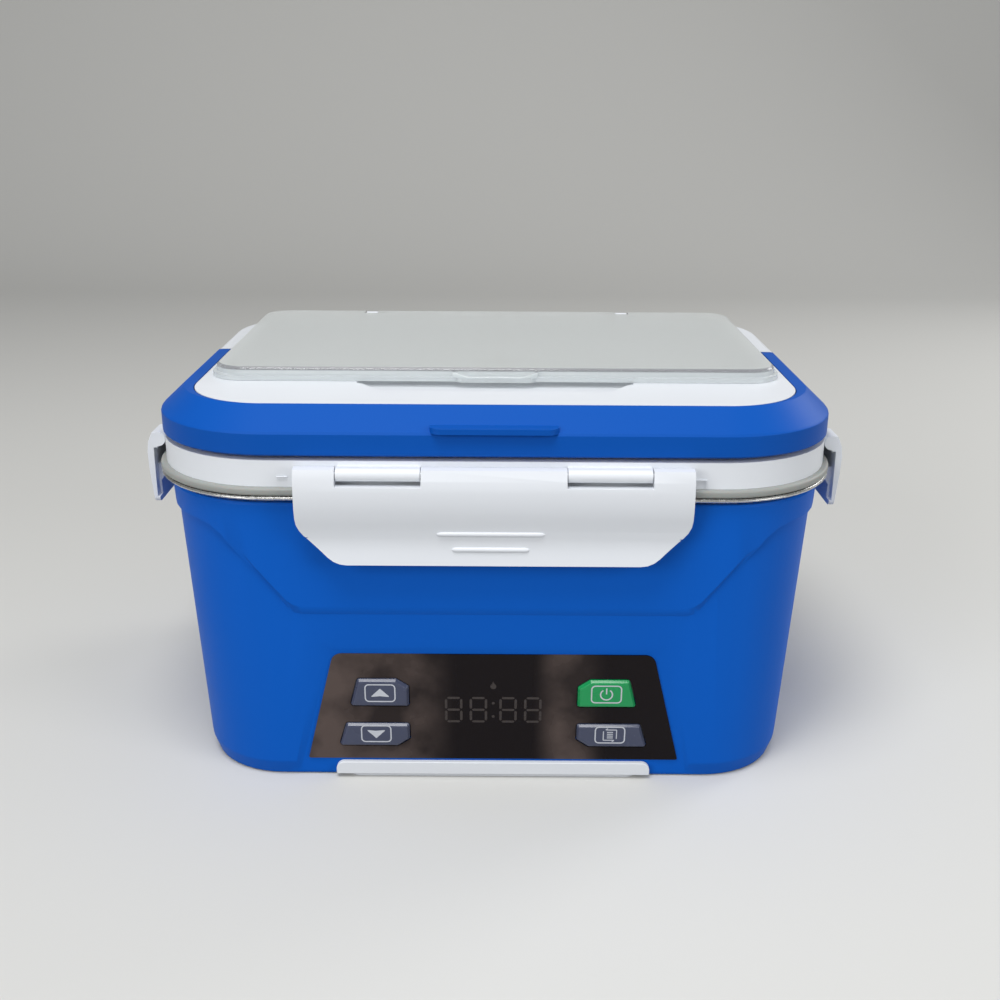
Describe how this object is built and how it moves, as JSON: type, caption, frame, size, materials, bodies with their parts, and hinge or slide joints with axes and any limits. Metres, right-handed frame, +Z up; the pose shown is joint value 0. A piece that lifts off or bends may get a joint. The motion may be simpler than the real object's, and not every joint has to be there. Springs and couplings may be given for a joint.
{
  "type": "electric lunch box",
  "caption": "Heated lunch box with a steel inner container, a latched lid with a folding carry handle, and a clear flip-up cover over a cutlery tray.",
  "frame": {"origin": "on the table, under the middle of the box", "axes": "+X to the right seen from the front, -Y out of the front with the control panel, +Z up"},
  "size_m": [0.2534, 0.1894, 0.147],
  "materials": {
    "blue_shell": "fine satin moulded ABS",
    "blue_handle": "fine satin moulded ABS",
    "white_plastic": "satin moulded polypropylene",
    "white_inner": "moulded polypropylene",
    "frosted_clear": "frosted clear plastic with polished edges",
    "stainless": "drawn stainless steel",
    "fastener_steel": "plain steel",
    "silicone": "translucent grey silicone",
    "plate_aluminium": "cast and machined",
    "heater_alloy": "anodised heater case",
    "contact_brass": "nickel-plated brass",
    "black_plastic": "moulded black plastic",
    "ceramic": "glazed ceramic sleeve",
    "cell_wrap": "shrink film",
    "circuit_board": "solder mask on glass-fibre laminate",
    "panel_film": "glossy printed film",
    "key_slate": "glossy moulded key",
    "key_green": "glossy moulded key"
  },
  "bodies": {
    "base": {"body_shell": "blue_shell", "base_plate": "blue_shell", "base_screws": "fastener_steel", "foot_bar_front": "white_plastic", "foot_bar_rear": "white_plastic", "inner_liner": "white_inner", "liner_screws": "fastener_steel", "heating_plate": "plate_aluminium", "ptc_heater": "heater_alloy", "heater_clamp": "stainless", "thermostat": "black_plastic", "thermal_fuse": "ceramic", "heat_shield": "stainless", "battery_tray": "black_plastic", "battery_cells": "cell_wrap", "battery_links": "fastener_steel", "power_board": "circuit_board", "control_board": "circuit_board", "board_screws": "fastener_steel", "display_module": "black_plastic", "key_switches": "black_plastic", "control_film": "panel_film", "power_inlet": "black_plastic", "inlet_pins": "contact_brass"},
    "pot": {"inner_pot": "stainless"},
    "lid": {"lid_frame": "white_plastic", "lid_inner_plate": "white_inner", "lid_seal": "silicone", "latch_pins": "fastener_steel", "handle_pins": "fastener_steel", "cover_pins": "fastener_steel"},
    "handle": {"carry_handle": "blue_handle"},
    "cover": {"top_cover": "frosted_clear"},
    "vent": {"vent_plug": "silicone"},
    "front_latch": {"latch_front": "white_plastic"},
    "rear_latch": {"latch_rear": "white_plastic"},
    "left_latch": {"latch_left": "white_plastic"},
    "right_latch": {"latch_right": "white_plastic"},
    "up_key": {"button_up": "key_slate"},
    "down_key": {"button_down": "key_slate"},
    "power_key": {"button_power": "key_green"},
    "menu_key": {"button_menu": "key_slate"}
  },
  "joints": [
    {"name": "pot_lift", "type": "slide", "parent": "base", "child": "pot", "axis": [0, 0, 1], "range_m": [0, 0.09]},
    {"name": "lid_lift", "type": "slide", "parent": "pot", "child": "lid", "axis": [0, 0, 1], "range_m": [0, 0.108]},
    {"name": "handle_hinge", "type": "hinge", "parent": "lid", "child": "handle", "pos_m": [0, 0.003, 0.13435], "axis": [-1, 0, 0], "range_deg": [0, 90]},
    {"name": "cover_hinge", "type": "hinge", "parent": "lid", "child": "cover", "pos_m": [0, 0.071, 0.1445], "axis": [-1, 0, 0], "range_deg": [0, 110]},
    {"name": "vent_plug_lift", "type": "slide", "parent": "lid", "child": "vent", "axis": [0, 0, 1], "range_m": [0, 0.003]},
    {"name": "front_latch_hinge", "type": "hinge", "parent": "lid", "child": "front_latch", "pos_m": [0, -0.0906, 0.12135], "axis": [-1, 0, 0], "range_deg": [0, 100]},
    {"name": "rear_latch_hinge", "type": "hinge", "parent": "lid", "child": "rear_latch", "pos_m": [0, 0.0906, 0.12135], "axis": [1, 0, 0], "range_deg": [0, 100]},
    {"name": "left_latch_hinge", "type": "hinge", "parent": "lid", "child": "left_latch", "pos_m": [-0.1226, 0, 0.12135], "axis": [0, 1, 0], "range_deg": [0, 100]},
    {"name": "right_latch_hinge", "type": "hinge", "parent": "lid", "child": "right_latch", "pos_m": [0.1226, 0, 0.12135], "axis": [0, -1, 0], "range_deg": [0, 100]},
    {"name": "up_key_press", "type": "slide", "parent": "base", "child": "up_key", "axis": [0, 0.9985, 0.0551], "range_m": [0, 0.0008], "stiffness_N_per_m": 600},
    {"name": "down_key_press", "type": "slide", "parent": "base", "child": "down_key", "axis": [0, 0.9985, 0.0551], "range_m": [0, 0.0008], "stiffness_N_per_m": 600},
    {"name": "power_key_press", "type": "slide", "parent": "base", "child": "power_key", "axis": [0, 0.9985, 0.0551], "range_m": [0, 0.0008], "stiffness_N_per_m": 600},
    {"name": "menu_key_press", "type": "slide", "parent": "base", "child": "menu_key", "axis": [0, 0.9985, 0.0551], "range_m": [0, 0.0008], "stiffness_N_per_m": 600}
  ]
}
